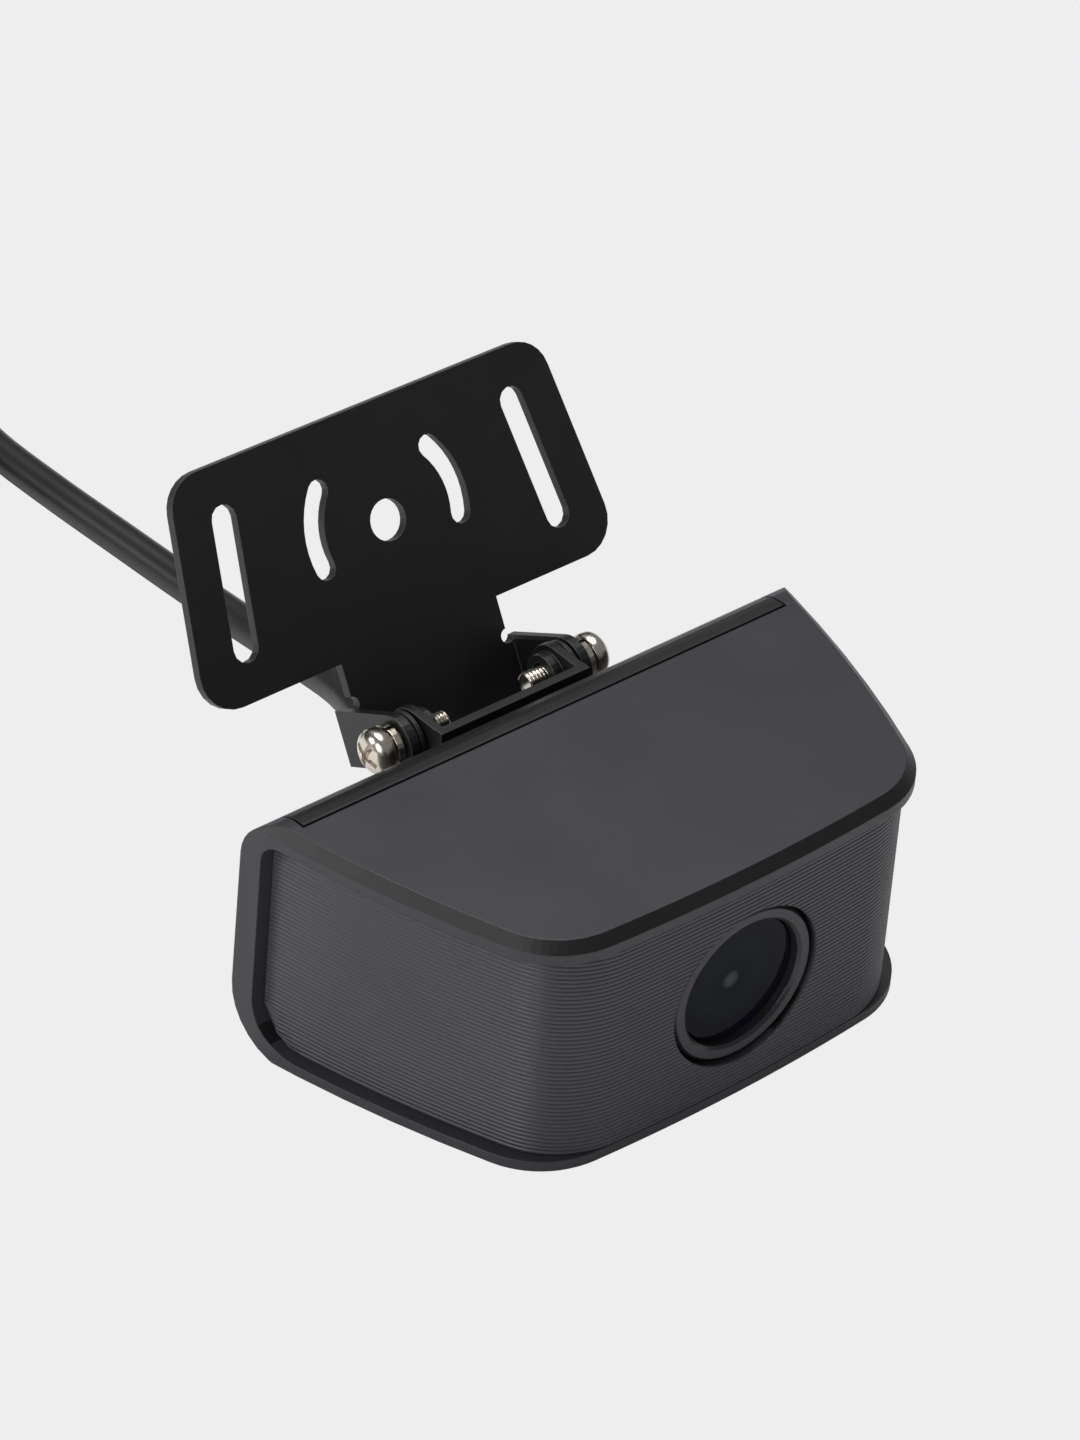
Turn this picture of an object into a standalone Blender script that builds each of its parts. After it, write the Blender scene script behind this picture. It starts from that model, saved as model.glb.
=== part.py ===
"""Backup camera for a truck or trailer: housing, lens stack, hinged mounting plate and lead.

The camera stands on its flat underside. X runs along the housing, the lens looks along -Y,
+Z is up, and the origin is on the underside below the middle of the housing.
Lengths are in metres; the named sizes below are written in millimetres times MM.
"""
import math

import bmesh
import bpy
from mathutils import Matrix, Vector

MM = 0.001
GAP = 0.3 * MM                 # clearance kept between pieces that meet

# ---- housing: driving sizes --------------------------------------------------------------
BODY_HEIGHT = 29.5 * MM
BODY_DEPTH = 37.14 * MM         # front of the nose to the back face
BACK_HALF = 36.8 * MM          # half width at the back, on the underside
NOSE_HALF = 24.45 * MM          # half width at the front, before the corners are rounded
NOSE_BULGE = 1.22 * MM          # how far the front bows forward
SIDE_BULGE = 1.1 * MM          # how far each side bows outward
NOSE_CORNER = 10.3 * MM        # plan radius of the two front corners
END_LEAN = 0.0353               # the ends lean in by this share of the width at the top back
TOP_CHAMFER = 1.1 * MM
BOTTOM_CHAMFER = 0.5 * MM
BACK_TOP_RADIUS = 4.85 * MM
BACK_BOTTOM_RADIUS = 8.4 * MM
WALL = 2.2 * MM
RIM_TOP = 2.3 * MM             # height of the smooth rim above the recessed wall
RIM_BOTTOM = 1.7 * MM
END_FLANGE = 2.6 * MM          # width of the rim behind the recess at each end
SIDE_RECESS = 1.7 * MM
NOSE_RECESS = 0.15 * MM
RING_SET = 0.55 * MM           # how far the lens ring's face stands in from the nose
END_WALL = 3.3 * MM            # thickness of the housing ends beside the rear cover
COVER_DEPTH = 5.5 * MM         # seam to back face
SEAL_LEDGE = 0.9 * MM

# ---- lens stack --------------------------------------------------------------------------
LENS_HEIGHT = 14.5 * MM
RING_RADIUS = 9.15 * MM
RING_BORE = 7.5 * MM
RING_THICK = 2.4 * MM
RING_GAP = 0.3 * MM
WINDOW_RECESS = 1.2 * MM
WINDOW_THICK = 1.2 * MM
SEAL_THICK = 1.0 * MM
SEAT_BORE = 6.7 * MM
SEAT_LENGTH = 2.6 * MM
BARREL_RADIUS = 6.0 * MM
BARREL_LENGTH = 11.0 * MM
APERTURE = 3.0 * MM
ELEMENT_SEAT = 1.6 * MM

# ---- boards ------------------------------------------------------------------------------
BOARD_HALF_X = 19.0 * MM
BOARD_HALF_Z = 10.5 * MM
BOARD_THICK = 1.6 * MM
BOARD_Y = 3.2 * MM             # front face of the sensor board
BOARD_SPACE = 5.0 * MM         # sensor board to interface board
BOARD_SCREW_X = 16.0 * MM
BOARD_SCREW_Z = 8.0 * MM
BOARD_BOSS = 2.4 * MM

# ---- fasteners ---------------------------------------------------------------------------
SCREW_RADIUS = 1.2 * MM
SCREW_HEAD = 2.3 * MM
SCREW_HEAD_HEIGHT = 1.4 * MM
COVER_SCREW_EDGE = 4.8 * MM    # cover screws in from the cover's ends, about
COVER_SCREW_Z = 7.6 * MM       # distance of the cover screws from top and bottom
COVER_BOSS = 3.0 * MM
PIVOT_HEAD = 2.5 * MM
PIVOT_HEAD_HEIGHT = 2.4 * MM
PIVOT_LENGTH = 8.4 * MM
WASHER_RADIUS = 2.4 * MM
SPRING_THICK = 0.8 * MM
SPACER_THICK = 0.5 * MM
SPACER_RADIUS = 3.0 * MM

# ---- brackets ----------------------------------------------------------------------------
SHEET = 1.1 * MM
PIVOT_BACK = 5.215 * MM          # pivot axis behind the back face
PIVOT_HEIGHT = 24.29 * MM
EAR_RADIUS = 3.1 * MM
INNER_HALF = 9.9 * MM         # half width over the inner bracket
INNER_SHEET = 1.0 * MM
WEB_TOP = 27.5 * MM
WEB_BOTTOM = 15.5 * MM
COLLAR_RADIUS = 2.4 * MM
COLLAR_LENGTH = 1.2 * MM
WEB_SCREW_X = 4.5 * MM
WEB_SCREW_Z = 18.5 * MM
PLATE_LEAN = 28.96              # degrees back from upright
PLATE_SET_BACK = 8.37 * MM      # pivot axis to the plate's front face
PLATE_RISE = 7.73 * MM          # pivot axis up to the plate's lower edge
PLATE_HEIGHT = 24.7 * MM
PLATE_HALF_LOW = 27.7 * MM
PLATE_HALF_HIGH = 24.25 * MM
PLATE_CORNER = 4.0 * MM
TAB_HALF = 10.4 * MM
TAB_DROP = 10.83 * MM           # plate's lower edge to the tab's lower edge
NOTCH_RADIUS = 0.8 * MM
NOTCH_DROP = 4.45 * MM
EAR_TOP = 3.1 * MM             # ear's upper edge above the axis, where it leaves the sheet
SLOT_WIDTH = 3.0 * MM
SLOT_TOP = 5.7 * MM            # plate's upper edge down to the slots' upper centres
SLOT_LOW = 5.6 * MM
SLOT_X_HIGH = 19.0 * MM
SLOT_X_LOW = 20.83 * MM
HOLE_HEIGHT = 12.24 * MM
HOLE_RADIUS = 2.25 * MM
ARC_RADIUS = 9.25 * MM
ARC_WIDTH = 2.45 * MM
ARC_FROM = -14.0               # degrees above the horizontal
ARC_TO = 38.0

# ---- lead --------------------------------------------------------------------------------
CABLE_RADIUS = 2.1 * MM
GLAND_HEIGHT = 10.0 * MM
GLAND_NECK = 2.9 * MM
GLAND_FLANGE = 3.8 * MM
GLAND_LENGTH = 14.1 * MM
COIL_RADIUS = 25.0 * MM        # to the middle of the winding
COIL_HALF_WIDTH = 4.5 * MM
COIL_HEIGHT = 9.0 * MM
COIL_SIDE = 3.0 * MM           # the coil lies on the left of this line
COIL_ENTRY = 134.5 * MM        # where the lead comes to the coil, with its reach below
COIL_REACH = 0.42              # share of the coil's radius that it lies beyond its entry
TIE_THICK = 1.2 * MM
TIE_WIDTH = 5.0 * MM
PLUG_RADIUS = 5.5 * MM
PLUG_LENGTH = 22.0 * MM
PLUG_RELIEF = 12.0 * MM
SOCKET_RADIUS = 4.3 * MM
SOCKET_LENGTH = 7.0 * MM

# Middle line of the lead from the gland to the coil, as x, y, z in millimetres.
LEAD_ROUTE = [
    (0.0, 33.3, 10.0), (0.3, 38.0, 9.6), (1.6, 44.5, 8.5), (4.2, 52.8, 6.5), (5.4, 61.5, 4.6),
    (5.8, 73.1, 2.9), (5.4, 83.9, 2.4), (4.7, 94.6, 2.4), (4.0, 105.5, 2.4), (3.6, 116.6, 2.4),
    (4.1, 123.0, 2.4), (4.8, 129.0, 2.4),
]

# ---- derived places ----------------------------------------------------------------------
BACK_Y = BODY_DEPTH / 2
APEX_Y = -BODY_DEPTH / 2
NOSE_Y = APEX_Y + NOSE_BULGE
SEAM_Y = BACK_Y - COVER_DEPTH
COVER_HALF = BACK_HALF * (1 - END_LEAN) - END_WALL
COVER_SCREW_X = round(COVER_HALF - COVER_SCREW_EDGE, 4)
RING_FRONT = APEX_Y + RING_SET
RING_BACK = RING_FRONT + RING_THICK
SEAL_FRONT = RING_BACK + GAP
SEAT_FRONT = SEAL_FRONT + SEAL_THICK + GAP
SEAT_BACK = SEAT_FRONT + SEAT_LENGTH
CAVITY_FRONT = APEX_Y + NOSE_RECESS + WALL
BARREL_FRONT = SEAT_FRONT + GAP
BARREL_BACK = BARREL_FRONT + BARREL_LENGTH
INTERFACE_Y = BOARD_Y + BOARD_THICK + BOARD_SPACE
PIVOT = Vector((0.0, BACK_Y + PIVOT_BACK, PIVOT_HEIGHT))
WEB_Y = BACK_Y + GAP
SPACER_X = INNER_HALF + GAP
EAR_X = SPACER_X + SPACER_THICK + GAP
SPRING_X = EAR_X + SHEET + GAP
HEAD_X = SPRING_X + SPRING_THICK + GAP
COIL_X = COIL_SIDE - COIL_RADIUS
COIL_Y = COIL_ENTRY + COIL_REACH * COIL_RADIUS
PLUG_X = COIL_X + PLUG_RELIEF + 3.7 * MM
PLUG_Y = COIL_Y + COIL_RADIUS + COIL_HALF_WIDTH + PLUG_RADIUS + GAP
SLOT_HIGH = PLATE_HEIGHT - SLOT_TOP
BIG = 200 * MM
ARC_STEPS = 10


# ---- scene and material helpers ----------------------------------------------------------
def clear_scene():
    for obj in list(bpy.data.objects):
        bpy.data.objects.remove(obj, do_unlink=True)


def new_collection(name):
    group = bpy.data.collections.new(name)
    bpy.context.scene.collection.children.link(group)
    return group


def material(name, hex_color, roughness, metallic=0.0):
    """A Principled material in the part's own colour, given as an sRGB hex value."""
    mat = bpy.data.materials.new(name)
    mat.use_nodes = True
    shader = mat.node_tree.nodes["Principled BSDF"]
    channels = [int(hex_color[i:i + 2], 16) / 255 for i in (0, 2, 4)]
    linear = [c / 12.92 if c <= 0.04045 else ((c + 0.055) / 1.055) ** 2.4 for c in channels]
    shader.inputs["Base Color"].default_value = (*linear, 1.0)
    shader.inputs["Roughness"].default_value = roughness
    shader.inputs["Metallic"].default_value = metallic
    return mat


def link_object(obj, group):
    for old in list(obj.users_collection):
        old.objects.unlink(obj)
    group.objects.link(obj)


def finish(obj, mat, smooth=True):
    """Put a finished piece in the camera's collection with its material."""
    link_object(obj, PARTS)
    obj.data.materials.clear()
    obj.data.materials.append(mat)
    if smooth:
        obj.data.shade_smooth()
        obj.data.set_sharp_from_angle(angle=math.radians(35))
    return obj


def as_mesh(obj):
    """Replace a curve or a modified object by its evaluated mesh, with its seams welded."""
    bpy.context.view_layer.update()
    graph = bpy.context.evaluated_depsgraph_get()
    mesh = bpy.data.meshes.new_from_object(obj.evaluated_get(graph))
    bm = bmesh.new()
    bm.from_mesh(mesh)
    bmesh.ops.remove_doubles(bm, verts=bm.verts, dist=1e-6)
    bmesh.ops.recalc_face_normals(bm, faces=bm.faces)
    bm.to_mesh(mesh)
    bm.free()
    made = bpy.data.objects.new(obj.name + "_mesh", mesh)
    made.matrix_world = obj.matrix_world.copy()
    bpy.context.scene.collection.objects.link(made)
    name = obj.name
    bpy.data.objects.remove(obj, do_unlink=True)
    made.name = name
    return made


# ---- shape helpers -----------------------------------------------------------------------
def box(name, low, high):
    low = Vector(low)
    high = Vector(high)
    bpy.ops.mesh.primitive_cube_add(size=1.0, location=(low + high) / 2)
    obj = bpy.context.object
    obj.name = name
    obj.scale = high - low
    bpy.ops.object.transform_apply(location=True, rotation=False, scale=True)
    return obj


def cylinder(name, radius, start, length, axis="Y", sides=32):
    """A cylinder from the point start, running along the + direction of an axis."""
    turn = {"X": (0, math.pi / 2, 0), "Y": (-math.pi / 2, 0, 0), "Z": (0, 0, 0)}[axis]
    step = {"X": Vector((1, 0, 0)), "Y": Vector((0, 1, 0)), "Z": Vector((0, 0, 1))}[axis]
    bpy.ops.mesh.primitive_cylinder_add(
        vertices=sides, radius=radius, depth=length,
        location=Vector(start) + step * length / 2, rotation=turn)
    obj = bpy.context.object
    obj.name = name
    bpy.ops.object.transform_apply(location=True, rotation=True, scale=True)
    return obj


def turned(name, profile, start, axis="Y", sides=32):
    """A closed profile of (radius, distance) turned about an axis through start.

    The profile runs down its outer side, so it lists the far end of the axis first.
    """
    mesh = bpy.data.meshes.new(name)
    bm = bmesh.new()
    verts = [bm.verts.new((r, 0.0, z)) for r, z in profile]
    closed = all(r > 0 for r, z in profile)
    for a, b in zip(verts, verts[1:]):
        bm.edges.new((a, b))
    if closed:
        bm.edges.new((verts[-1], verts[0]))
    bm.to_mesh(mesh)
    bm.free()
    obj = bpy.data.objects.new(name, mesh)
    bpy.context.scene.collection.objects.link(obj)
    screw = obj.modifiers.new("turn", "SCREW")
    screw.axis = "Z"
    screw.steps = sides
    screw.render_steps = sides
    screw.use_merge_vertices = True
    screw.merge_threshold = 1e-5
    obj = as_mesh(obj)
    turn = {"X": Matrix.Rotation(math.pi / 2, 4, "Y"), "Y": Matrix.Rotation(-math.pi / 2, 4, "X"),
            "Z": Matrix.Identity(4)}[axis]
    obj.data.transform(Matrix.Translation(Vector(start)) @ turn)
    return obj


def extruded(name, outline, low, high, plane="XY", holes=()):
    """A flat outline, with optional holes, made as thick as low to high.

    The outline's two numbers are X and Y in plane XY, or Y and Z in plane YZ, or X and Z in
    plane XZ, and low to high is measured along the remaining axis.
    """
    curve = bpy.data.curves.new(name, "CURVE")
    curve.dimensions = "2D"
    curve.fill_mode = "BOTH"
    curve.extrude = (high - low) / 2
    for loop in (outline, *holes):
        spline = curve.splines.new("POLY")
        spline.points.add(len(loop) - 1)
        for point, (a, b) in zip(spline.points, loop):
            point.co = (a, b, 0.0, 1.0)
        spline.use_cyclic_u = True
    obj = bpy.data.objects.new(name, curve)
    bpy.context.scene.collection.objects.link(obj)
    obj = as_mesh(obj)
    middle = (low + high) / 2
    place = {
        "XY": Matrix.Translation((0, 0, middle)),
        "YZ": Matrix(((0, 0, 1, middle), (1, 0, 0, 0), (0, 1, 0, 0), (0, 0, 0, 1))),
        "XZ": Matrix(((1, 0, 0, 0), (0, 0, -1, middle), (0, 1, 0, 0), (0, 0, 0, 1))),
    }[plane]
    obj.data.transform(place)
    return obj


def combine(target, tool, operation):
    """Cut, join or intersect the target with a tool, which is used up."""
    link_object(tool, CUTTERS)
    tool.hide_render = True
    tool.display_type = "WIRE"
    change = target.modifiers.new(operation.lower(), "BOOLEAN")
    change.operation = operation
    change.solver = "EXACT"
    change.object = tool
    made = as_mesh(target)
    bpy.data.objects.remove(tool, do_unlink=True)
    return made


def cut(target, *tools):
    for tool in tools:
        target = combine(target, tool, "DIFFERENCE")
    return target


def join(target, *tools):
    for tool in tools:
        target = combine(target, tool, "UNION")
    return target


def arc(center, radius, start, end, steps=ARC_STEPS):
    """Points on an arc, with its two angles in degrees."""
    turns = [math.radians(start + (end - start) * i / steps) for i in range(steps + 1)]
    return [(center[0] + radius * math.cos(t), center[1] + radius * math.sin(t)) for t in turns]


def rounded_polygon(corners, steps=6):
    """A polygon from (x, y, radius) corners, each rounded by an arc that meets both sides."""
    points = []
    count = len(corners)
    for i, (x, y, radius) in enumerate(corners):
        here = Vector((x, y))
        if radius == 0:
            points.append((x, y))
            continue
        before = (Vector(corners[i - 1][:2]) - here).normalized()
        after = (Vector(corners[(i + 1) % count][:2]) - here).normalized()
        half = before.angle(after) / 2
        middle = here + (before + after).normalized() * (radius / math.sin(half))
        reach = radius / math.tan(half)
        first = here + before * reach - middle
        last = here + after * reach - middle
        start = math.atan2(first.y, first.x)
        sweep = math.atan2(first.x * last.y - first.y * last.x, first.dot(last))
        for k in range(steps + 1):
            t = start + sweep * k / steps
            points.append((middle.x + radius * math.cos(t), middle.y + radius * math.sin(t)))
    return points


def slot_outline(start, end, width, steps=6):
    """A straight slot with round ends, whose end centres are start and end."""
    a = Vector(start)
    b = Vector(end)
    heading = math.degrees(math.atan2(b.y - a.y, b.x - a.x))
    first = arc(a, width / 2, heading + 90, heading + 270, steps)
    return first + arc(b, width / 2, heading - 90, heading + 90, steps)


def arc_slot_outline(center, radius, width, start, end, steps=8):
    """A curved slot with round ends about a centre, between two angles in degrees."""
    half = width / 2
    tip = arc(center, radius, end, end, 1)[0]
    root = arc(center, radius, start, start, 1)[0]
    outer = arc(center, radius + half, start, end, steps)
    inner = arc(center, radius - half, end, start, steps)
    far_cap = arc(tip, half, end, end + 180, 6)[1:-1]
    near_cap = arc(root, half, start + 180, start + 360, 6)[1:-1]
    return outer + far_cap + inner + near_cap


# ---- housing outlines --------------------------------------------------------------------
def bow_circle(a, b, bulge):
    """Centre and radius of the circle through a and b that bows by bulge, right of a to b."""
    a = Vector(a)
    b = Vector(b)
    half = (b - a).length / 2
    radius = (half * half + bulge * bulge) / (2 * bulge)
    heading = (b - a).normalized()
    outward = Vector((heading.y, -heading.x))
    return (a + b) / 2 - outward * (radius - bulge), radius


def plan_outline(nose_inset=0.0, side_inset=0.0, back_y=BACK_Y, corner=NOSE_CORNER):
    """Plan view of the housing, or of a wall set in from its nose and its sides."""
    nose_center, nose_radius = bow_circle((-NOSE_HALF, NOSE_Y), (NOSE_HALF, NOSE_Y), NOSE_BULGE)
    side_center, side_radius = bow_circle((NOSE_HALF, NOSE_Y), (BACK_HALF, BACK_Y), SIDE_BULGE)
    nose_radius -= nose_inset
    side_radius -= side_inset
    to_nose = nose_radius - corner
    to_side = side_radius - corner
    apart = side_center - nose_center
    along = (to_nose ** 2 - to_side ** 2 + apart.length_squared) / (2 * apart.length)
    across = math.sqrt(to_nose ** 2 - along ** 2)
    heading = apart.normalized()
    middle = nose_center + heading * along + Vector((-heading.y, heading.x)) * across
    other = nose_center + heading * along - Vector((-heading.y, heading.x)) * across
    if middle.y > other.y or middle.x < 0:
        middle = other
    nose_touch = middle - nose_center
    side_touch = middle - side_center
    nose_angle = math.degrees(math.atan2(nose_touch.y, nose_touch.x))
    side_angle = math.degrees(math.atan2(side_touch.y, side_touch.x))
    back_angle = math.degrees(math.asin((back_y - side_center.y) / side_radius))
    right = arc(nose_center, nose_radius, -90, nose_angle, 6)[1:-1]
    right += arc(middle, corner, nose_angle, side_angle, 12)
    right += arc(side_center, side_radius, side_angle, back_angle, 6)[1:]
    left = [(-x, y) for x, y in reversed(right)]
    return left + [(0.0, nose_center.y - nose_radius)] + right


def side_profile(inset=0.0, low=0.0, high=BODY_HEIGHT, front=-BIG, back=BACK_Y):
    """Side view of the housing's back, as Y and Z, set in by a wall at the back."""
    return rounded_polygon([
        (front, low, 0),
        (back - inset, low, max(BACK_BOTTOM_RADIUS - inset, MM)),
        (back - inset, high, max(BACK_TOP_RADIUS - inset, MM)),
        (front, high, 0),
    ], steps=8)


def lean_ends(obj):
    """Lean the ends in towards the top, most at the back and not at all at the nose."""
    for vert in obj.data.vertices:
        share = (vert.co.z / BODY_HEIGHT) * (vert.co.y - NOSE_Y) / (BACK_Y - NOSE_Y)
        vert.co.x *= 1 - END_LEAN * share
    return obj


def chamfer_rim(obj, height, size):
    """Chamfer the rim of a prism that lies at the given height."""
    bm = bmesh.new()
    bm.from_mesh(obj.data)
    rim = [e for e in bm.edges
           if all(abs(v.co.z - height) < 1e-6 for v in e.verts)
           and len(e.link_faces) == 2
           and abs(e.calc_face_angle(0)) > 1.0]
    rim = [e for e in rim if not all(v.co.y > BACK_Y - 1e-6 for v in e.verts)]
    bmesh.ops.bevel(bm, geom=rim, offset=size, offset_type="OFFSET", affect="EDGES",
                    segments=1, profile=0.5, material=-1, clamp_overlap=False)
    bm.to_mesh(obj.data)
    bm.free()
    return obj


def body_block():
    """The whole outside of the camera, before it is parted into housing and cover."""
    block = extruded("block", plan_outline(back_y=BACK_Y + WALL), 0.0, BODY_HEIGHT)
    block = chamfer_rim(block, BODY_HEIGHT, TOP_CHAMFER)
    block = chamfer_rim(block, 0.0, BOTTOM_CHAMFER)
    block = lean_ends(block)
    side = extruded("side", side_profile(), -BIG, BIG, "YZ")
    return combine(block, side, "INTERSECT")


def recess_cutter():
    """The band round the nose and both ends that sets the wall in behind the rim."""
    profile = side_profile(inset=END_FLANGE, low=RIM_BOTTOM, high=BODY_HEIGHT - RIM_TOP)
    band = extruded("band", profile, -BIG, BIG, "YZ")
    wall = extruded("wall", plan_outline(NOSE_RECESS, SIDE_RECESS, BACK_Y + WALL), -MM,
                    BODY_HEIGHT + MM)
    return cut(band, lean_ends(wall))


def cavity_cutter():
    """The hollow of the housing, open at the back."""
    outline = plan_outline(NOSE_RECESS + WALL, SIDE_RECESS + WALL, BACK_Y + WALL,
                           corner=NOSE_CORNER - WALL)
    room = extruded("room", outline, WALL, BODY_HEIGHT - WALL)
    limit = box("limit", (-COVER_HALF + WALL, -BIG, 0), (COVER_HALF - WALL, BIG, BODY_HEIGHT))
    return combine(lean_ends(room), limit, "INTERSECT")


# ---- camera pieces -----------------------------------------------------------------------
def make_front_housing():
    shell = cut(body_block(), recess_cutter(), cavity_cutter())
    pocket = box("pocket", (-COVER_HALF, SEAM_Y, -MM), (COVER_HALF, BIG, BODY_HEIGHT + MM))
    half = WALL / 2
    ledge = box("ledge", (-COVER_HALF + half, SEAM_Y - SEAL_LEDGE, half),
                (COVER_HALF - half, SEAM_Y + MM, BODY_HEIGHT - half))
    shell = cut(shell, pocket, ledge)
    for x in (-COVER_SCREW_X, COVER_SCREW_X):
        for z in (COVER_SCREW_Z, BODY_HEIGHT - COVER_SCREW_Z):
            start = SEAM_Y - SEAL_LEDGE - 9 * MM
            boss = cylinder("boss", COVER_BOSS, (x, start, z), 9 * MM, sides=20)
            shell = join(shell, boss)
            pilot = cylinder("pilot", SCREW_RADIUS + GAP, (x, start + MM, z), BIG, sides=16)
            shell = cut(shell, pilot)
    for x in (-BOARD_SCREW_X, BOARD_SCREW_X):
        for z in (-BOARD_SCREW_Z, BOARD_SCREW_Z):
            start = CAVITY_FRONT - 0.5 * MM
            spot = (x, start, LENS_HEIGHT + z)
            post = cylinder("post", BOARD_BOSS, spot, BOARD_Y - GAP - start, sides=16)
            shell = join(shell, post)
            spot = (x, BOARD_Y - 8 * MM, LENS_HEIGHT + z)
            shell = cut(shell, cylinder("pilot", SCREW_RADIUS + GAP, spot, 20 * MM, sides=12))
    seat = cylinder("seat", RING_RADIUS + RING_GAP + 1.6 * MM,
                    (0, CAVITY_FRONT - 0.8 * MM, LENS_HEIGHT),
                    SEAT_BACK - CAVITY_FRONT + 0.8 * MM, sides=48)
    mouth = cylinder("mouth", RING_RADIUS + RING_GAP, (0, APEX_Y - MM, LENS_HEIGHT),
                     SEAT_FRONT - APEX_Y + MM, sides=48)
    throat = cylinder("throat", SEAT_BORE, (0, APEX_Y, LENS_HEIGHT), 20 * MM, sides=48)
    shell = cut(join(shell, seat), mouth, throat)
    shell.name = "front_housing"
    return finish(shell, BLACK_PAINT)


def make_rear_cover():
    cover = body_block()
    window = box("window", (-COVER_HALF + GAP, SEAM_Y + GAP, -MM),
                 (COVER_HALF - GAP, BIG, BODY_HEIGHT + MM))
    cover = combine(cover, window, "INTERSECT")
    profile = side_profile(inset=WALL, low=WALL, high=BODY_HEIGHT - WALL, front=-BIG)
    inside = COVER_HALF - GAP - WALL
    cover = cut(cover, extruded("inside", profile, -inside, inside, "YZ"))
    for x in (-COVER_SCREW_X, COVER_SCREW_X):
        for z in (COVER_SCREW_Z, BODY_HEIGHT - COVER_SCREW_Z):
            start = SEAM_Y + GAP
            boss = cylinder("boss", COVER_BOSS, (x, start, z), BACK_Y - WALL - start + MM,
                            sides=20)
            limit = extruded("limit", side_profile(inset=WALL / 2), -BIG, BIG, "YZ")
            boss = combine(boss, limit, "INTERSECT")
            hole = cylinder("hole", SCREW_RADIUS + GAP, (x, 0, z), BIG, sides=16)
            sink = cylinder("sink", SCREW_HEAD + GAP, (x, BACK_Y - WALL, z), BIG, sides=20)
            cover = cut(join(cover, boss), hole, sink)
    for x in (-WEB_SCREW_X, WEB_SCREW_X):
        boss = cylinder("boss", COVER_BOSS, (x, BACK_Y - WALL - 1.6 * MM, WEB_SCREW_Z),
                        1.6 * MM + WALL / 2, sides=20)
        hole = cylinder("hole", SCREW_RADIUS + GAP, (x, 0, WEB_SCREW_Z), BIG, sides=16)
        cover = cut(join(cover, boss), hole)
    cover = cut(cover, cylinder("outlet", GLAND_NECK + GAP, (0, 0, GLAND_HEIGHT), BIG, sides=24))
    cover.name = "rear_cover"
    return finish(cover, BLACK_PAINT)


def make_cover_gasket():
    half = WALL / 2
    outer_x = COVER_HALF - half - GAP
    outer_z = BODY_HEIGHT / 2 - half - GAP
    middle = BODY_HEIGHT / 2

    def frame(x, z):
        return [(-x, middle - z), (x, middle - z), (x, middle + z), (-x, middle + z)]

    width = half + 0.2 * MM
    ring = extruded("cover_gasket", frame(outer_x, outer_z), SEAM_Y - SEAL_LEDGE + GAP, SEAM_Y,
                    "XZ", holes=[frame(outer_x - width, outer_z - width)])
    return finish(ring, BLACK_RUBBER, smooth=False)


def make_lens_ring():
    lip = 0.35 * MM
    profile = [(RING_RADIUS, RING_THICK), (RING_RADIUS, lip), (RING_RADIUS - lip, 0.0),
               (RING_BORE + lip, 0.0), (RING_BORE, lip), (RING_BORE, RING_THICK)]
    ring = turned("lens_ring", profile, (0, RING_FRONT, LENS_HEIGHT), sides=48)
    return finish(ring, RING_METAL)


def make_lens_window():
    start = (0, RING_FRONT + WINDOW_RECESS, LENS_HEIGHT)
    disc = cylinder("lens_window", RING_BORE - GAP, start, WINDOW_THICK, sides=48)
    return finish(disc, DARK_GLASS)


def make_window_seal():
    profile = [(RING_RADIUS, SEAL_THICK), (RING_RADIUS, 0.0), (SEAT_BORE, 0.0),
               (SEAT_BORE, SEAL_THICK)]
    seal = turned("window_seal", profile, (0, SEAL_FRONT, LENS_HEIGHT), sides=40)
    return finish(seal, BLACK_RUBBER)


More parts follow.
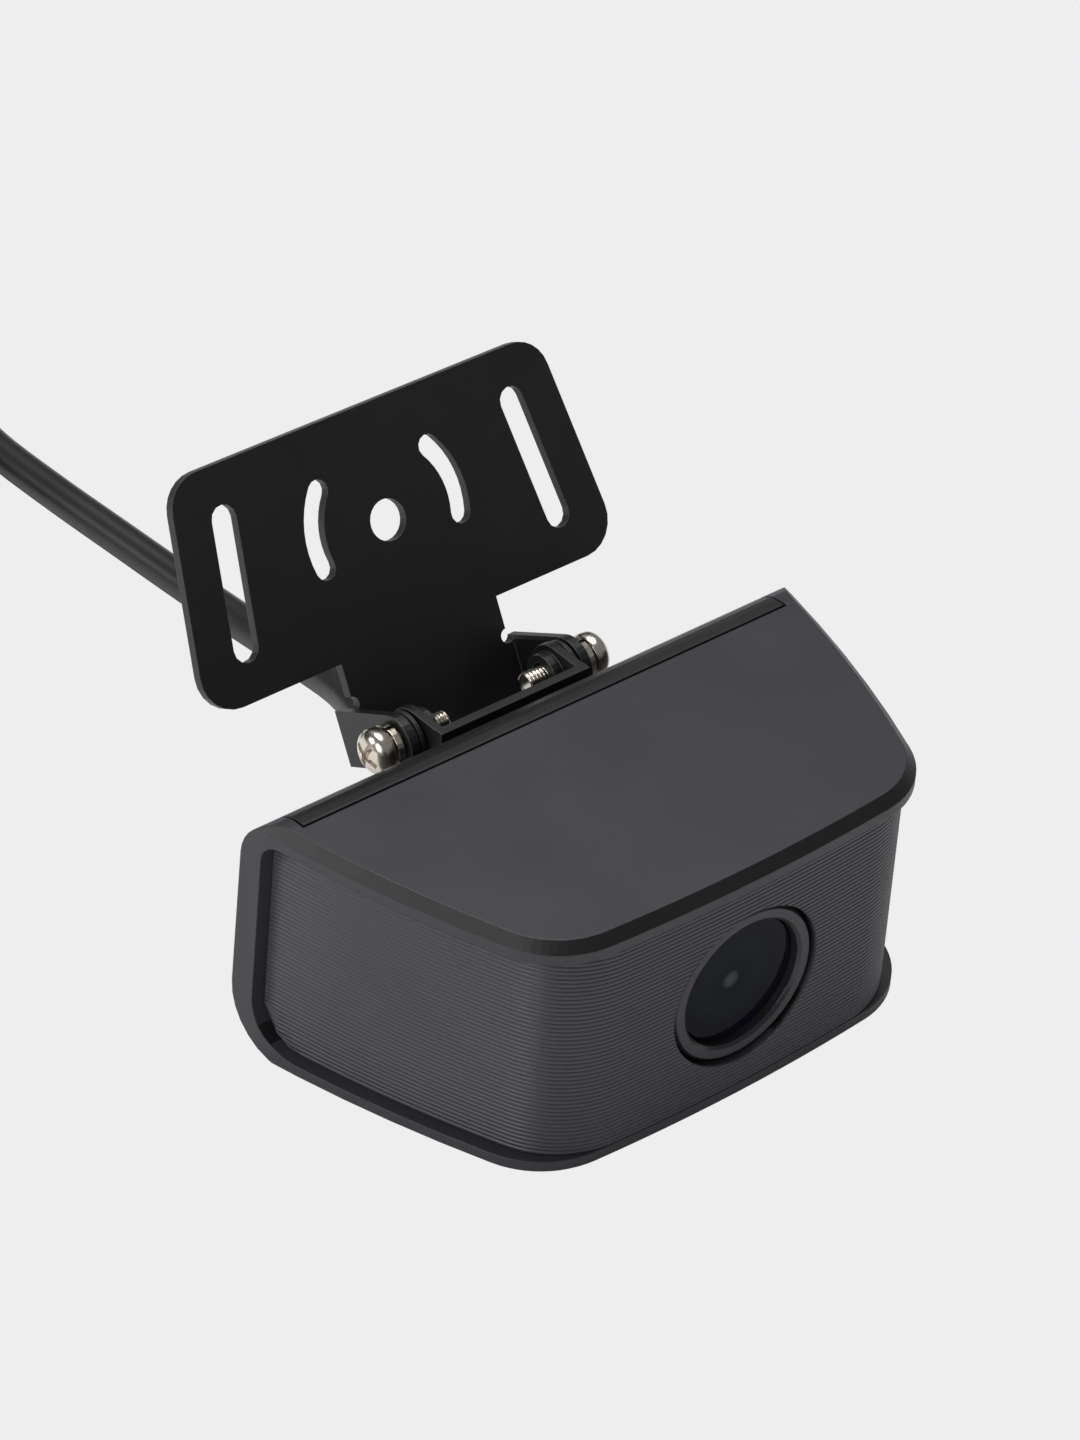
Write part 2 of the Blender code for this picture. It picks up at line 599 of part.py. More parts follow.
def make_lens_stack():
    """Barrel, front element, holder, filter and sensor, on the lens axis."""
    tip = BARREL_RADIUS - 0.5 * MM
    bore = APERTURE - 0.8 * MM
    profile = [(BARREL_RADIUS, BARREL_LENGTH), (BARREL_RADIUS, 0.5 * MM), (tip, 0.0),
               (APERTURE + GAP, 0.0), (APERTURE + GAP, ELEMENT_SEAT + GAP),
               (bore, ELEMENT_SEAT + GAP), (bore, BARREL_LENGTH)]
    barrel = turned("lens_barrel", profile, (0, BARREL_FRONT, LENS_HEIGHT))
    finish(barrel, BLACK_PLASTIC)

    dome = [(0.0, ELEMENT_SEAT), (APERTURE, ELEMENT_SEAT), (APERTURE, 0.5 * MM)]
    dome += [(APERTURE * math.cos(math.radians(t)), 0.5 * MM * (1 - math.sin(math.radians(t))))
             for t in (30, 60)]
    dome += [(0.0, 0.0)]
    element = turned("lens_front_element", dome, (0, BARREL_FRONT, LENS_HEIGHT))
    finish(element, DARK_GLASS)

    half = 8.0 * MM
    holder_back = BOARD_Y - GAP
    holder_front = BARREL_BACK - 5.0 * MM
    base = box("lens_holder", (-half, holder_back - 3.0 * MM, LENS_HEIGHT - half),
               (half, holder_back, LENS_HEIGHT + half))
    tube = cylinder("tube", BARREL_RADIUS + 1.4 * MM, (0, holder_front, LENS_HEIGHT),
                    holder_back - 0.5 * MM - holder_front)
    well = cylinder("well", BARREL_RADIUS + GAP, (0, holder_front - MM, LENS_HEIGHT),
                    BARREL_BACK + GAP - holder_front + MM)
    room = 4.6 * MM
    pit = box("pit", (-room, BARREL_BACK, LENS_HEIGHT - room),
              (room, holder_back + MM, LENS_HEIGHT + room))
    holder = cut(join(base, tube), well, pit)
    holder.name = "lens_holder"
    finish(holder, BLACK_PLASTIC)

    side = 3.6 * MM
    glass = box("ir_filter", (-side, BARREL_BACK + GAP, LENS_HEIGHT - side),
                (side, BARREL_BACK + GAP + 0.5 * MM, LENS_HEIGHT + side))
    finish(glass, FILTER_GLASS, smooth=False)
    chip = box("image_sensor", (-side, BOARD_Y - GAP - 1.0 * MM, LENS_HEIGHT - side),
               (side, BOARD_Y - GAP, LENS_HEIGHT + side))
    finish(chip, CHIP, smooth=False)


def make_board(name, front):
    board = box(name, (-BOARD_HALF_X, front, LENS_HEIGHT - BOARD_HALF_Z),
                (BOARD_HALF_X, front + BOARD_THICK, LENS_HEIGHT + BOARD_HALF_Z))
    for x in (-BOARD_SCREW_X, BOARD_SCREW_X):
        for z in (-BOARD_SCREW_Z, BOARD_SCREW_Z):
            spot = (x, front - MM, LENS_HEIGHT + z)
            board = cut(board, cylinder("hole", SCREW_RADIUS + GAP, spot, 4 * MM, sides=16))
    board.name = name
    return finish(board, GREEN_BOARD, smooth=False)


def make_boards():
    make_board("sensor_board", BOARD_Y)
    make_board("interface_board", INTERFACE_Y)
    start = BOARD_Y + BOARD_THICK + GAP
    header = box("board_header", (-8 * MM, start, LENS_HEIGHT - 1.6 * MM),
                 (8 * MM, INTERFACE_Y - GAP, LENS_HEIGHT + 1.6 * MM))
    finish(header, BLACK_PLASTIC, smooth=False)
    start = INTERFACE_Y + BOARD_THICK + GAP
    plug = box("cable_connector", (-4.5 * MM, start, GLAND_HEIGHT - 2.5 * MM),
               (4.5 * MM, start + 2.9 * MM, GLAND_HEIGHT + 2.5 * MM))
    finish(plug, WHITE_PLASTIC, smooth=False)
    count = 0
    for x in (-BOARD_SCREW_X, BOARD_SCREW_X):
        for z in (-BOARD_SCREW_Z, BOARD_SCREW_Z):
            count += 1
            spot = (x, INTERFACE_Y + BOARD_THICK + GAP, LENS_HEIGHT + z)
            make_pan_screw(f"board_screw_{count}", spot, "Y", INTERFACE_Y - BOARD_Y + 5.5 * MM)
            sleeve_start = BOARD_Y + BOARD_THICK + GAP
            sleeve_length = INTERFACE_Y - GAP - sleeve_start
            profile = [(BOARD_BOSS, sleeve_length), (BOARD_BOSS, 0.0),
                       (SCREW_RADIUS + GAP, 0.0), (SCREW_RADIUS + GAP, sleeve_length)]
            sleeve = turned(f"board_spacer_{count}", profile, (x, sleeve_start, spot[2]),
                            sides=16)
            finish(sleeve, BLACK_PLASTIC)


def make_pan_screw(name, seat, axis, length, radius=SCREW_RADIUS, head=SCREW_HEAD,
                   height=SCREW_HEAD_HEIGHT, flip=False, sides=24):
    """A pan head screw whose head sits on the point seat and stands up the axis."""
    crown = height * 0.35
    profile = [(0.0, height), (head * 0.55, height), (head * 0.9, height - crown),
               (head, height - 2 * crown), (head, 0.0), (radius, 0.0),
               (radius, -length + 0.4 * MM), (radius - 0.3 * MM, -length), (0.0, -length)]
    screw = turned(name, profile, (0, 0, 0), axis, sides=sides)
    for reach, slim, floor in ((0.58, 0.13, 0.4), (0.13, 0.58, 0.42)):
        arm = box("arm", (-head * reach, -head * slim, height * floor),
                  (head * reach, head * slim, height + MM))
        arm.data.transform({"X": Matrix.Rotation(math.pi / 2, 4, "Y"),
                            "Y": Matrix.Rotation(-math.pi / 2, 4, "X"),
                            "Z": Matrix.Identity(4)}[axis])
        screw = cut(screw, arm)
    if flip:
        screw.data.transform(Matrix.Rotation(math.pi, 4, "Z"))
    screw.data.transform(Matrix.Translation(Vector(seat)))
    screw.name = name
    return finish(screw, NICKEL)


def make_cover_screws():
    count = 0
    for x in (-COVER_SCREW_X, COVER_SCREW_X):
        for z in (COVER_SCREW_Z, BODY_HEIGHT - COVER_SCREW_Z):
            count += 1
            seat = (x, BACK_Y - WALL + GAP, z)
            make_pan_screw(f"cover_screw_{count}", seat, "Y", 10.0 * MM)


# ---- brackets ----------------------------------------------------------------------------
def make_inner_bracket():
    web = box("web", (-INNER_HALF, WEB_Y, WEB_BOTTOM), (INNER_HALF, WEB_Y + INNER_SHEET, WEB_TOP))
    back = PIVOT.y - WEB_Y
    ear = [(0.0, -EAR_RADIUS)] + arc((back, 0.0), EAR_RADIUS, -90, 90, 12)
    ear += [(0.0, EAR_RADIUS)]
    ear = [(WEB_Y + y, PIVOT.z + z) for y, z in ear]
    inner = INNER_HALF - INNER_SHEET
    for side in (-1, 1):
        low, high = sorted((side * inner, side * INNER_HALF))
        web = join(web, extruded("ear", ear, low, high, "YZ"))
        low, high = sorted((side * (inner - COLLAR_LENGTH), side * (inner + 0.2 * MM)))
        collar = cylinder("collar", COLLAR_RADIUS, (low, PIVOT.y, PIVOT.z), high - low, "X", 24)
        web = join(web, collar)
    bore = cylinder("bore", SCREW_RADIUS + GAP, (-BIG / 2, PIVOT.y, PIVOT.z), BIG, "X", 24)
    web = cut(web, bore)
    for x in (-WEB_SCREW_X, WEB_SCREW_X):
        web = cut(web, cylinder("hole", SCREW_RADIUS + GAP, (x, 0, WEB_SCREW_Z), BIG, sides=16))
    web.name = "inner_bracket"
    return finish(web, BLACK_POWDER)


def plate_outline():
    top = PLATE_RISE + PLATE_HEIGHT
    return rounded_polygon([
        (-PLATE_HALF_LOW, PLATE_RISE, PLATE_CORNER), (PLATE_HALF_LOW, PLATE_RISE, PLATE_CORNER),
        (PLATE_HALF_HIGH, top, PLATE_CORNER), (-PLATE_HALF_HIGH, top, PLATE_CORNER)])


def plate_holes():
    center = (0.0, PLATE_RISE + HOLE_HEIGHT)
    holes = [arc(center, HOLE_RADIUS, 0, 360, 24)[:-1]]
    for side in (-1, 1):
        low = (side * SLOT_X_LOW, PLATE_RISE + SLOT_LOW)
        high = (side * SLOT_X_HIGH, PLATE_RISE + SLOT_HIGH)
        holes.append(slot_outline(low, high, SLOT_WIDTH))
    curved = arc_slot_outline(center, ARC_RADIUS, ARC_WIDTH, ARC_FROM, ARC_TO)
    holes.append(curved)
    holes.append([(-x, z) for x, z in reversed(curved)])
    return holes


def make_mounting_plate(hinge):
    """The outer bracket, modelled about its pivot with the sheet upright, then leaned back."""
    front = PLATE_SET_BACK
    back = PLATE_SET_BACK + SHEET
    plate = extruded("plate", plate_outline(), front, back, "XZ", holes=plate_holes())
    lowest = PLATE_RISE - TAB_DROP
    tab = box("tab", (-TAB_HALF, front, lowest), (TAB_HALF, back, PLATE_RISE + 2 * MM))
    flange = box("flange", (-EAR_X - SHEET, front, lowest), (EAR_X + SHEET, back, EAR_TOP))
    plate = join(plate, tab, flange)
    ear = arc((0.0, 0.0), EAR_RADIUS, 90, 270, 14) + [(back, lowest), (back, EAR_TOP)]
    for side in (-1, 1):
        low, high = sorted((side * EAR_X, side * (EAR_X + SHEET)))
        plate = join(plate, extruded("ear", ear, low, high, "YZ"))
        spot = (side * TAB_HALF, 0, PLATE_RISE - NOTCH_DROP)
        plate = cut(plate, cylinder("notch", NOTCH_RADIUS, spot, BIG, sides=20))
    bore = cylinder("bore", SCREW_RADIUS + GAP, (-BIG / 2, 0, 0), BIG, "X", 24)
    plate = cut(plate, bore)
    plate.name = "mounting_plate"
    finish(plate, BLACK_POWDER)
    plate.parent = hinge
    return plate


def make_pivot_hardware():
    for side, word in ((-1, "left"), (1, "right")):
        seat = (side * HEAD_X, PIVOT.y, PIVOT.z)
        make_pan_screw(f"pivot_screw_{word}", seat, "X", PIVOT_LENGTH, head=PIVOT_HEAD,
                       height=PIVOT_HEAD_HEIGHT, flip=side < 0, sides=32)
        bore = SCREW_RADIUS + GAP
        for name, start, thick, radius, mat in (
                ("spring_washer", SPRING_X, SPRING_THICK, WASHER_RADIUS, NICKEL),
                ("spacer_washer", SPACER_X, SPACER_THICK, SPACER_RADIUS, BLACK_PLASTIC)):
            profile = [(radius, thick), (radius, 0.0), (bore, 0.0), (bore, thick)]
            low = start if side > 0 else -start - thick
            washer = turned(f"{name}_{word}", profile, (low, PIVOT.y, PIVOT.z), "X", sides=28)
            if name == "spring_washer":
                split = box("split", (low - MM, PIVOT.y - 0.25 * MM, PIVOT.z),
                            (low + thick + MM, PIVOT.y + 0.25 * MM, PIVOT.z + 2 * radius))
                washer = cut(washer, split)
                washer.name = f"{name}_{word}"
            finish(washer, mat)


def make_bracket_screws():
    for x, word in ((-WEB_SCREW_X, "left"), (WEB_SCREW_X, "right")):
        seat = (x, WEB_Y + INNER_SHEET + GAP, WEB_SCREW_Z)
        make_pan_screw(f"bracket_screw_{word}", seat, "Y", 5.0 * MM)


# ---- lead --------------------------------------------------------------------------------
def make_cable_gland():
    inner = -WALL - GAP - 1.4 * MM
    profile = [(CABLE_RADIUS + 0.6 * MM, GLAND_LENGTH), (GLAND_FLANGE - 0.8 * MM, 3.0 * MM),
               (GLAND_FLANGE, 1.6 * MM), (GLAND_FLANGE, 0.0), (GLAND_NECK, 0.0),
               (GLAND_NECK, inner + 0.7 * MM), (GLAND_FLANGE, inner + 0.7 * MM),
               (GLAND_FLANGE, inner), (0.0, inner)]
    profile = [(0.0, GLAND_LENGTH)] + profile
    gland = turned("cable_gland", profile, (0, BACK_Y + GAP, GLAND_HEIGHT), sides=28)
    return finish(gland, BLACK_RUBBER)


def smooth_route(points, per_span):
    """Points on a Catmull-Rom curve through the route, the same number in each span."""
    padded = [2 * points[0] - points[1]] + points + [2 * points[-1] - points[-2]]
    made = []
    for i in range(1, len(padded) - 2):
        a, b, c, d = padded[i - 1:i + 3]
        for k in range(per_span):
            t = k / per_span
            made.append(0.5 * (2 * b + (c - a) * t + (2 * a - 5 * b + 4 * c - d) * t ** 2
                               + (3 * b - a - 3 * c + d) * t ** 3))
    return made + [points[-1]]


def make_cable_lead():
    route = smooth_route([Vector(p) * MM for p in LEAD_ROUTE], 2)
    curve = bpy.data.curves.new("cable_lead", "CURVE")
    curve.dimensions = "3D"
    curve.bevel_depth = CABLE_RADIUS
    curve.bevel_resolution = 2
    curve.use_fill_caps = True
    spline = curve.splines.new("POLY")
    spline.points.add(len(route) - 1)
    for point, place in zip(spline.points, route):
        point.co = (*place, 1.0)
    lead = bpy.data.objects.new("cable_lead", curve)
    bpy.context.scene.collection.objects.link(lead)
    return finish(as_mesh(lead), BLACK_PVC)


def make_cable_coil():
    inner = COIL_RADIUS - COIL_HALF_WIDTH
    outer = COIL_RADIUS + COIL_HALF_WIDTH
    ease = 2.0 * MM
    low = TIE_THICK + 2 * GAP
    profile = [(outer - ease, COIL_HEIGHT), (outer, COIL_HEIGHT - ease), (outer, low + ease),
               (outer - ease, low), (inner + ease, low), (inner, low + ease),
               (inner, COIL_HEIGHT - ease), (inner + ease, COIL_HEIGHT)]
    coil = turned("cable_coil", profile, (COIL_X, COIL_Y, 0), "Z", sides=40)
    return finish(coil, BLACK_PVC)


def make_cable_tie():
    """A strap round the winding, on its far side."""
    low_x = COIL_RADIUS - COIL_HALF_WIDTH - GAP
    high_x = COIL_RADIUS + COIL_HALF_WIDTH + GAP
    low = TIE_THICK + GAP
    top = COIL_HEIGHT + GAP

    def loop(grow):
        return [(low_x - grow, low - grow), (high_x + grow, low - grow),
                (high_x + grow, top + grow), (low_x - grow, top + grow)]

    strap = extruded("cable_tie", loop(TIE_THICK), -TIE_WIDTH / 2, TIE_WIDTH / 2, "YZ",
                     holes=[loop(0.0)])
    turn = Matrix.Rotation(math.radians(90), 4, "Z")
    strap.data.transform(Matrix.Translation((COIL_X, COIL_Y, 0)) @ turn)
    return finish(strap, BLACK_PLASTIC, smooth=False)


def make_plug():
    """The moulded round plug and its metal shell, lying beside the winding."""
    length = PLUG_LENGTH + PLUG_RELIEF
    body = [(0.0, length), (PLUG_RADIUS - 1.0 * MM, length), (PLUG_RADIUS, length - 1.0 * MM),
            (PLUG_RADIUS, PLUG_RELIEF), (PLUG_RADIUS - 1.6 * MM, PLUG_RELIEF - 1.4 * MM),
            (CABLE_RADIUS + 0.6 * MM, 0.0), (0.0, 0.0)]
    place = Matrix.Translation((PLUG_X, PLUG_Y, PLUG_RADIUS + GAP))
    place = place @ Matrix.Rotation(math.pi, 4, "Z")
    plug = turned("plug_body", body, (0, 0, 0), "X", sides=28)
    plug.data.transform(place)
    finish(plug, BLACK_PVC)
    bore = SOCKET_RADIUS - 0.8 * MM
    shell = [(0.0, 1.5 * MM), (bore, 1.5 * MM), (bore, SOCKET_LENGTH),
             (SOCKET_RADIUS, SOCKET_LENGTH), (SOCKET_RADIUS, 0.0), (0.0, 0.0)]
    socket = turned("plug_shell", shell, (length + GAP, 0, 0), "X", sides=28)
    socket.data.transform(place)
    finish(socket, BLACK_PLASTIC)


clear_scene()
PARTS = new_collection("backup_camera")
CUTTERS = new_collection("cutters")

BLACK_PAINT = material("black_paint", "45464B", 0.45)
BLACK_POWDER = material("black_powder_coat", "1F1D1F", 0.5)
BLACK_PLASTIC = material("black_plastic", "161618", 0.5)
BLACK_RUBBER = material("black_rubber", "141414", 0.75)
BLACK_PVC = material("black_pvc", "1B1B1C", 0.45)
RING_METAL = material("anodised_ring", "4A464B", 0.4, 0.7)
DARK_GLASS = material("dark_glass", "10131C", 0.06)
FILTER_GLASS = material("filter_glass", "37505A", 0.1)
CHIP = material("sensor_chip", "2A2E33", 0.3)
GREEN_BOARD = material("green_board", "1C4A33", 0.5)
WHITE_PLASTIC = material("white_plastic", "D8D4C8", 0.5)
NICKEL = material("nickel_plate", "C9C2B4", 0.25, 1.0)

make_front_housing()
make_rear_cover()
make_cover_gasket()
make_lens_ring()
make_lens_window()
make_window_seal()
make_lens_stack()
make_boards()
make_cover_screws()
make_inner_bracket()
make_bracket_screws()
make_pivot_hardware()

HINGE = bpy.data.objects.new("plate_hinge", None)
PARTS.objects.link(HINGE)
HINGE.location = PIVOT
HINGE.rotation_euler = (math.radians(-PLATE_LEAN), 0.0, 0.0)
make_mounting_plate(HINGE)

make_cable_gland()
make_cable_lead()
make_cable_coil()
make_cable_tie()
make_plug()
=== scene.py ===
"""Backup camera: the finished visual model, laid out as a Blender add-on.

The rigid pieces come from the shared frame and get their materials here. The ribbed wall,
the pivot screws, the lead with its coil, the tie and the plug's pins are made here.
Lengths are in metres; sizes are written in millimetres times MM.
"""

import math

import bmesh
import bpy
from mathutils import Matrix, Vector

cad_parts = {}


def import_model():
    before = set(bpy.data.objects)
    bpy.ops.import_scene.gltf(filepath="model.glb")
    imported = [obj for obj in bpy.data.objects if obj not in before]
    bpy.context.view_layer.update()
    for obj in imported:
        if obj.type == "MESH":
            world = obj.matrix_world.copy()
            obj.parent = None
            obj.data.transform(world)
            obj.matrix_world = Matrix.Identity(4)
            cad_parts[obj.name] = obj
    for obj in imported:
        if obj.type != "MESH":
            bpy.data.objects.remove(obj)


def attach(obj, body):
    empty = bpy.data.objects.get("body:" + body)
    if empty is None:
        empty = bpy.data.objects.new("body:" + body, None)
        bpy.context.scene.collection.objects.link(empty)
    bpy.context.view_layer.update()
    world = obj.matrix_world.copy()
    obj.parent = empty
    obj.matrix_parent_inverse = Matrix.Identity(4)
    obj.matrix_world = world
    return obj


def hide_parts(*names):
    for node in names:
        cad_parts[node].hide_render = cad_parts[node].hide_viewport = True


bl_info = {
    "name": "Backup camera",
    "version": (1, 0, 0),
    "blender": (4, 5, 0),
    "location": "View3D > Sidebar > Backup camera",
    "description": "Adds the looks of a bracket-mounted backup camera",
    "category": "Add Mesh",
}

MM = 0.001
BODY_HEIGHT = 29.5 * MM
NOSE_Y = -17.35 * MM
BACK_Y = 18.57 * MM
LENS_HEIGHT = 14.5 * MM
PIVOT = Vector((0.0, 23.785, 24.29)) * MM

# Middle line of the lead from the gland to the coil, the same as the part's, in millimetres.
LEAD_ROUTE = [
    (0.0, 33.3, 10.0), (0.3, 38.0, 9.6), (1.6, 44.5, 8.5), (4.2, 52.8, 6.5), (5.4, 61.5, 4.6),
    (5.8, 73.1, 2.9), (5.4, 83.9, 2.4), (4.7, 94.6, 2.4), (4.0, 105.5, 2.4), (3.6, 116.6, 2.4),
    (4.1, 123.0, 2.4), (4.8, 129.0, 2.4), (5.1, 137.0, 2.4),
]


# ---- properties --------------------------------------------------------------------------
class RibSettings(bpy.types.PropertyGroup):
    pitch: bpy.props.FloatProperty(name="Pitch", description="Distance from rib to rib",
                                   default=0.52 * MM, unit="LENGTH")
    depth: bpy.props.FloatProperty(name="Depth", description="Height of a rib above its groove",
                                   default=0.2 * MM, unit="LENGTH")
    low: bpy.props.FloatProperty(name="Low edge", description="Top of the lower rim",
                                 default=1.7 * MM, unit="LENGTH")
    high: bpy.props.FloatProperty(name="High edge", description="Underside of the upper rim",
                                  default=27.2 * MM, unit="LENGTH")


class CableSettings(bpy.types.PropertyGroup):
    diameter: bpy.props.FloatProperty(name="Diameter", description="Outer diameter of the lead",
                                      default=4.2 * MM, unit="LENGTH")
    coil_radius: bpy.props.FloatProperty(name="Coil radius", default=25.0 * MM, unit="LENGTH",
                                         description="Radius to the middle of the winding")


class StageSettings(bpy.types.PropertyGroup):
    key: bpy.props.FloatProperty(name="Key light", description="Strength of the soft top light",
                                 default=1.9)
    lens: bpy.props.FloatProperty(name="Focal length", description="Camera lens in millimetres",
                                  default=126.26)


# ---- materials ---------------------------------------------------------------------------
def srgb(hex_color):
    channels = [int(hex_color[i:i + 2], 16) / 255 for i in (0, 2, 4)]
    linear = [c / 12.92 if c <= 0.04045 else ((c + 0.055) / 1.055) ** 2.4 for c in channels]
    return (*linear, 1.0)


def add(mat, kind, links=(), **values):
    """Add a node, set its inputs and properties by name, and link sockets into its inputs."""
    node = mat.node_tree.nodes.new(kind)
    for name, value in values.items():
        label = name.replace("_", " ")
        if label in node.inputs:
            node.inputs[label].default_value = value
        else:
            setattr(node, name, value)
    for name, source in links:
        mat.node_tree.links.new(source, node.inputs[name])
    return node


def new_material(name):
    mat = bpy.data.materials.new(name)
    mat.use_nodes = True
    return mat, mat.node_tree.nodes["Principled BSDF"]


def surface(name, dark, light, rough, metallic=0.0, grain=0.3, bump=0.02, patch=9.0,
            spread=0.08, bevel=0.15, edge=0.35, slope_painted_shade=None):
    """A moulded, painted or plated surface.

    grain is the size of its fine texture and patch that of its broad colour drift, both in
    millimetres; bump is the texture's depth in millimetres, spread the drift in roughness.
    A colour given for sloped faces is a painted shade: faces whose world-space normal tilts up at
    about 45 degrees get it in place of their own colour.
    """
    mat, shader = new_material(name)
    place = add(mat, "ShaderNodeTexCoord").outputs["Object"]
    broad = add(mat, "ShaderNodeTexNoise", [("Vector", place)], Scale=1 / (patch * MM),
                Detail=3.0)
    fine = add(mat, "ShaderNodeTexNoise", [("Vector", place)], Scale=1 / (grain * MM),
               Detail=4.0)
    colors = add(mat, "ShaderNodeMix", [("Factor", broad.outputs["Fac"])], data_type="RGBA")
    colors.inputs[6].default_value = srgb(dark)
    colors.inputs[7].default_value = srgb(light)
    soft = add(mat, "ShaderNodeBevel", samples=6, Radius=bevel * MM)
    faces = add(mat, "ShaderNodeNewGeometry")
    turn = add(mat, "ShaderNodeVectorMath", [(0, soft.outputs["Normal"]),
                                             (1, faces.outputs["Normal"])],
               operation="DOT_PRODUCT")
    worn = add(mat, "ShaderNodeMapRange", [("Value", turn.outputs["Value"])])
    worn.inputs["From Min"].default_value = 0.96
    worn.inputs["From Max"].default_value = 0.75
    worn.inputs["To Max"].default_value = edge
    rubbed = add(mat, "ShaderNodeMix", [("Factor", worn.outputs["Result"])], data_type="RGBA")
    base = colors.outputs[2]
    # Painted shade: faces tilted up at about 45 degrees get the colour given for sloped faces.
    if slope_painted_shade:
        axes = add(mat, "ShaderNodeSeparateXYZ", [("Vector", faces.outputs["True Normal"])])
        slant = add(mat, "ShaderNodeMath", [(0, axes.outputs["Z"])], operation="COMPARE")
        slant.inputs[1].default_value = 0.7
        slant.inputs[2].default_value = 0.15
        slope_shade_mix = add(mat, "ShaderNodeMix", [("Factor", slant.outputs["Value"])],
                   data_type="RGBA")
        mat.node_tree.links.new(base, slope_shade_mix.inputs[6])
        slope_shade_mix.inputs[7].default_value = srgb(slope_painted_shade)
        base = slope_shade_mix.outputs[2]
    mat.node_tree.links.new(base, rubbed.inputs[6])
    rubbed.inputs[7].default_value = srgb("8A8784")
    mat.node_tree.links.new(rubbed.outputs[2], shader.inputs["Base Color"])
    dull = add(mat, "ShaderNodeMapRange", [("Value", broad.outputs["Fac"])])
    dull.inputs["To Min"].default_value = max(rough - spread, 0.02)
    dull.inputs["To Max"].default_value = rough + spread
    mat.node_tree.links.new(dull.outputs["Result"], shader.inputs["Roughness"])
    shader.inputs["Metallic"].default_value = metallic
    relief = add(mat, "ShaderNodeBump", [("Height", fine.outputs["Fac"]),
                                         ("Normal", soft.outputs["Normal"])],
                 Distance=bump * MM, Strength=0.6)
    mat.node_tree.links.new(relief.outputs["Normal"], shader.inputs["Normal"])
    return mat


def window_glass_painted_reflection():
    """Opaque coated flat window with painted reflections: a grey lens glint 0.7 mm off the axis, a
    teal sheen over the iris, navy around it, violet at the edge.
    """
    mat, shader = new_material("lens_glass_painted_reflection")
    place = add(mat, "ShaderNodeTexCoord").outputs["Object"]
    across = add(mat, "ShaderNodeVectorMath", [("Vector", place)], operation="MULTIPLY")
    across.inputs[1].default_value = (1.0, 0.0, 1.0)
    away = add(mat, "ShaderNodeVectorMath", operation="DISTANCE")
    mat.node_tree.links.new(across.outputs["Vector"], away.inputs[0])
    away.inputs[1].default_value = (-0.7 * MM, 0.0, LENS_HEIGHT + 0.2 * MM)
    share = add(mat, "ShaderNodeMath", [(0, away.outputs["Value"])], operation="DIVIDE")
    share.inputs[1].default_value = 7.5 * MM
    ramp = add(mat, "ShaderNodeValToRGB", [("Fac", share.outputs["Value"])])
    # Painted reflection: a grey glint of the lens in the middle, then dark, teal, navy and violet
    # rings.
    stops = [(0.0, "4A5056"), (0.11, "353D42"), (0.15, "080D10"), (0.5, "0C1A20"),
             (0.75, "0E0F1C"), (1.0, "17121F")]
    elements = ramp.color_ramp.elements
    while len(elements) < len(stops):
        elements.new(0.5)
    for element, (at, color) in zip(elements, stops):
        element.position = at
        element.color = srgb(color)
    mat.node_tree.links.new(ramp.outputs["Color"], shader.inputs["Base Color"])
    shader.inputs["Roughness"].default_value = 0.04
    shader.inputs["Specular IOR Level"].default_value = 0.07
    return mat


def make_materials():
    """One material for each real finish on the camera."""
    return {
        # Satin charcoal enamel on a cast housing, fine orange peel, with a painted near-black shade
        # on faces tilted up at about 45 degrees, such as the rim's chamfer.
        "housing": surface("satin_charcoal_enamel", "2A2B30", "33343A", 0.42, grain=0.35,
                           bump=0.012, patch=14.0, bevel=0.2, edge=0.1, slope_painted_shade="0E0F11"),
        # The rear cover is a darker satin enamel.
        "cover": surface("satin_black_enamel", "161618", "1D1D20", 0.4, grain=0.35,
                         bump=0.012, patch=14.0, bevel=0.2, edge=0.1),
        # The same enamel where it runs into the grooves.
        "ribs": surface("ribbed_charcoal_enamel", "34353C", "3F4048", 0.38, grain=0.25,
                        bump=0.006, patch=10.0, bevel=0.05, edge=0.05),
        # Grey-brown anodised ring, turned finish.
        "ring": surface("anodised_grey_brown", "39363B", "474448", 0.3, 0.6, grain=0.12,
                        bump=0.004, patch=5.0, edge=0.3),
        # Thin black powder coat on pressed steel, slight pebble, bright at worn edges.
        "powder": surface("black_powder_coat", "0E0D0E", "151415", 0.42, grain=0.28,
                          bump=0.02, patch=7.0, bevel=0.18, edge=0.35),
        # Bright nickel plate with fine draw marks.
        "nickel": surface("bright_nickel_plate", "D2CABC", "ECE6DA", 0.2, 1.0, grain=0.1,
                          bump=0.004, patch=2.0, bevel=0.12, edge=0.0),
        # Flexible black PVC jacket, faint extrusion grain.
        "pvc": surface("black_pvc_jacket", "161617", "1F1F21", 0.36, grain=0.5, bump=0.015,
                       patch=12.0, edge=0.0),
        # Dull moulded rubber.
        "rubber": surface("moulded_black_rubber", "0F0F10", "191919", 0.6, grain=0.3,
                          bump=0.02, patch=6.0, edge=0.0),
        # Matte glass-filled nylon.
        "nylon": surface("black_nylon", "131314", "1D1D1F", 0.5, grain=0.2, bump=0.012,
                         patch=5.0, edge=0.1),
        # Green solder mask over glass cloth.
        "board": surface("green_solder_mask", "16402B", "1E5238", 0.35, grain=0.6, bump=0.01,
                         patch=4.0, edge=0.0),
        # Natural nylon connector shell.
        "cream": surface("natural_nylon", "CFC8B8", "DDD7C8", 0.45, grain=0.3, bump=0.01,
                         patch=4.0, edge=0.0),
        # Tinned copper pins.
        "tin": surface("tinned_pins", "A8A49A", "C6C2B8", 0.25, 1.0, grain=0.1, bump=0.003,
                       patch=1.5, edge=0.0),
        # Opaque coated glass with painted reflections and a painted lens glint.
        "glass": window_glass_painted_reflection(),
    }


def material(name):
    return bpy.data.materials[MATERIAL_NAMES[name]]


